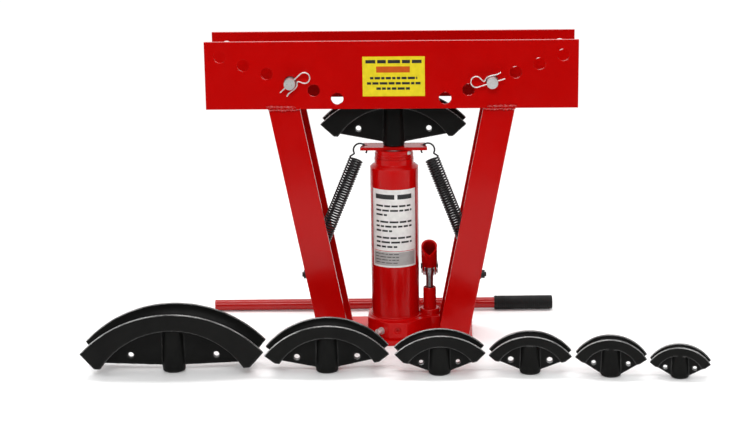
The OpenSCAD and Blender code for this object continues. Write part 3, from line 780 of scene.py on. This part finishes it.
def frame_welds():
    """Beads under both cross-plates, on the channels' faces, and round the feet."""
    plate_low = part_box("front_plate")[0].z
    base_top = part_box("base_plate")[1].z
    for side, sign in (("left", -1), ("right", 1)):
        leg_low, leg_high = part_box(f"{side}_leg")
        outer_foot = sign * LEG_FOOT_X
        inner_foot = outer_foot - sign * LEG_WIDTH
        outer_top = outer_foot + sign * LEG_SLOPE * (plate_low - base_top)
        inner_top = outer_top - sign * LEG_WIDTH
        for end, y, out in (("front", leg_low.y, -1), ("back", leg_high.y, 1)):
            fillet_y = y + out * 1.0 * MM
            start = Vector((inner_top, fillet_y, plate_low - 0.8 * MM))
            stop = Vector((outer_top, fillet_y, plate_low - 0.8 * MM))
            lumpy_bead(f"{side}_{end}_plate_fillet", start, stop, 3.9 * MM, "frame", seed=sign * 3.1 + out)
            edge_y = y + out * 6.1 * MM
            start = Vector((inner_top + sign * 6 * MM, edge_y, plate_low + 3.2 * MM))
            stop = Vector((outer_top + sign * 2.5 * MM, edge_y, plate_low + 4.2 * MM))
            lumpy_bead(f"{side}_{end}_edge_weld", start, stop, 2.3 * MM, "frame", 8.5 * MM, sign * 7.7 + out)
            foot_y = y + out * 0.4 * MM
            start = Vector((inner_foot, foot_y, base_top + 0.6 * MM))
            stop = Vector((outer_foot, foot_y, base_top + 0.6 * MM))
            lumpy_bead(f"{side}_{end}_foot_weld", start, stop, 2.6 * MM, "frame", seed=sign * 1.3 + out)
        side_x = outer_foot + sign * 0.4 * MM
        start = Vector((side_x, leg_low.y, base_top + 0.6 * MM))
        stop = Vector((side_x, leg_high.y, base_top + 0.6 * MM))
        lumpy_bead(f"{side}_outer_foot_weld", start, stop, 2.4 * MM, "frame", seed=sign * 9.0)


frame_welds()


# ---------- lever grip ----------

# The middle of the lever's bare end, and its turn about the vertical. The lengths below are in millimetres
LEVER_TIP = Vector((-320.7, 129.3, 9.55)) * MM
LEVER_TURN = math.radians(0.8)
LEVER_LENGTH = 594
LEVER_DIAMETER = 19
GRIP_LENGTH = 102
GRIP_DIAMETER = 24
GROOVES = 26
GROOVE_START = 6
GROOVE_PITCH = 3.4


def lever_grip():
    """A moulded rubber grip: fine grooves, a soft lip where the tube enters and a domed end."""
    rise = math.asin((GRIP_DIAMETER - LEVER_DIAMETER) / 2 / (LEVER_LENGTH - GRIP_LENGTH))
    level = Vector((math.cos(LEVER_TURN), math.sin(LEVER_TURN), 0))
    axis = level * math.cos(rise) + Z_AXIS * math.sin(rise)
    start = LEVER_TIP + axis * (LEVER_LENGTH - GRIP_LENGTH) * MM
    profile = [(9.5, 0.4), (10.2, 0.0), (11.4, 0.25), (12.0, 1.3), (12.0, 3.5)]
    for k in range(GROOVES):
        at = GROOVE_START + k * GROOVE_PITCH
        profile += [(12.0, at), (11.72, at + 0.35), (11.72, at + 0.75), (12.0, at + 1.1)]
    profile += [(12.0, 99.2), (11.7, 100.6), (10.9, 101.6), (9.6, 102.0), (5.0, 101.9), (0.0, 101.7)]
    grip = bmesh.new()
    lathe(grip, [(r * MM, h * MM) for r, h in profile], start, axis, 56)
    piece = add_piece("moulded_grip", grip, [GRIP_RUBBER], "lever")
    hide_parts("lever_grip")


lever_grip()


# ---------- jack details ----------

# The neck screw's place round the head, above the head nut's foot and from the jack's axis
NECK_SCREW_TURN = math.radians(52)
NECK_SCREW_HEIGHT = 22.6 * MM
NECK_RADIUS = 31.2 * MM
# The casting's top face where the tube stands, above the casting's foot
CASTING_HEIGHT = 30 * MM


def screw_head(name, place, axis, radius, height, body, material):
    """A domed screw head with a round recess, on a thin washer."""
    head = bmesh.new()
    profile = [(0.0, 0.0), (1.35, 0.0), (1.4, 0.12), (1.35, 0.22), (1.0, 0.22), (1.0, 0.5), (0.92, 0.78),
               (0.7, 0.95), (0.34, 1.0), (0.3, 0.72), (0.0, 0.7)]
    lathe(head, [(r * radius, h * height) for r, h in profile], place, axis, 28)
    add_piece(name, head, [material], body)


def jack_details():
    """The head's clamp screw, and a seam ring where the tube meets the casting."""
    nut_low, nut_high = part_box("head_nut")
    centre_x = (nut_low.x + nut_high.x) / 2
    out = Vector((math.sin(NECK_SCREW_TURN), -math.cos(NECK_SCREW_TURN), 0))
    place = Vector((centre_x, 0, nut_low.z + NECK_SCREW_HEIGHT)) + out * NECK_RADIUS
    screw_head("neck_screw", place, out, 2.6 * MM, 3.2 * MM, "frame", ZINC)
    tube_low, tube_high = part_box("reservoir_tube")
    tube_radius = (tube_high.x - tube_low.x) / 2
    casting_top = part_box("jack_base")[0].z + CASTING_HEIGHT
    profile = [(-0.3, 0.2), (1.3, 0.0), (1.1, 0.7), (0.35, 1.4), (-0.3, 1.9)]
    ring = bmesh.new()
    lathe(ring, [(tube_radius + r * MM, h * MM) for r, h in profile], Vector((centre_x, 0, casting_top)),
          Z_AXIS, 96)
    add_piece("tube_seal_bead", ring, [JACK_RED], "frame")


jack_details()


# ---------- anchor threads ----------

THREAD_RADIUS = 3.75 * MM
THREAD_LENGTH = 4.4 * MM
THREAD_PITCH = 1.25 * MM
THREAD_SETBACK = 4.6 * MM
THREAD_STEPS = 24


def thread(name, start, axis, body):
    """A helical ridge on a plain shank."""
    across = axis.orthogonal().normalized()
    side = axis.cross(across)
    steps = int(THREAD_LENGTH / THREAD_PITCH * THREAD_STEPS)
    points = []
    for k in range(steps + 1):
        angle = 2 * math.pi * k / THREAD_STEPS
        outward = math.cos(angle) * across + math.sin(angle) * side
        points.append(start + axis * (THREAD_LENGTH * k / steps) + THREAD_RADIUS * outward)
    ridge = bmesh.new()
    sweep(ridge, points, THREAD_PITCH * 0.3, 6)
    add_piece(name, ridge, [PIN_BLACK], body)


def anchor_threads():
    """A short thread on the outer end of each spring anchor's bolt."""
    for side, sign in (("left", -1), ("right", 1)):
        low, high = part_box(f"{side}_anchor_bolt")
        tip_x = low.x if sign < 0 else high.x
        start = Vector((tip_x - sign * THREAD_SETBACK, 0, (low.z + high.z) / 2))
        thread(f"{side}_anchor_thread", start, X_AXIS * sign, "frame")


anchor_threads()
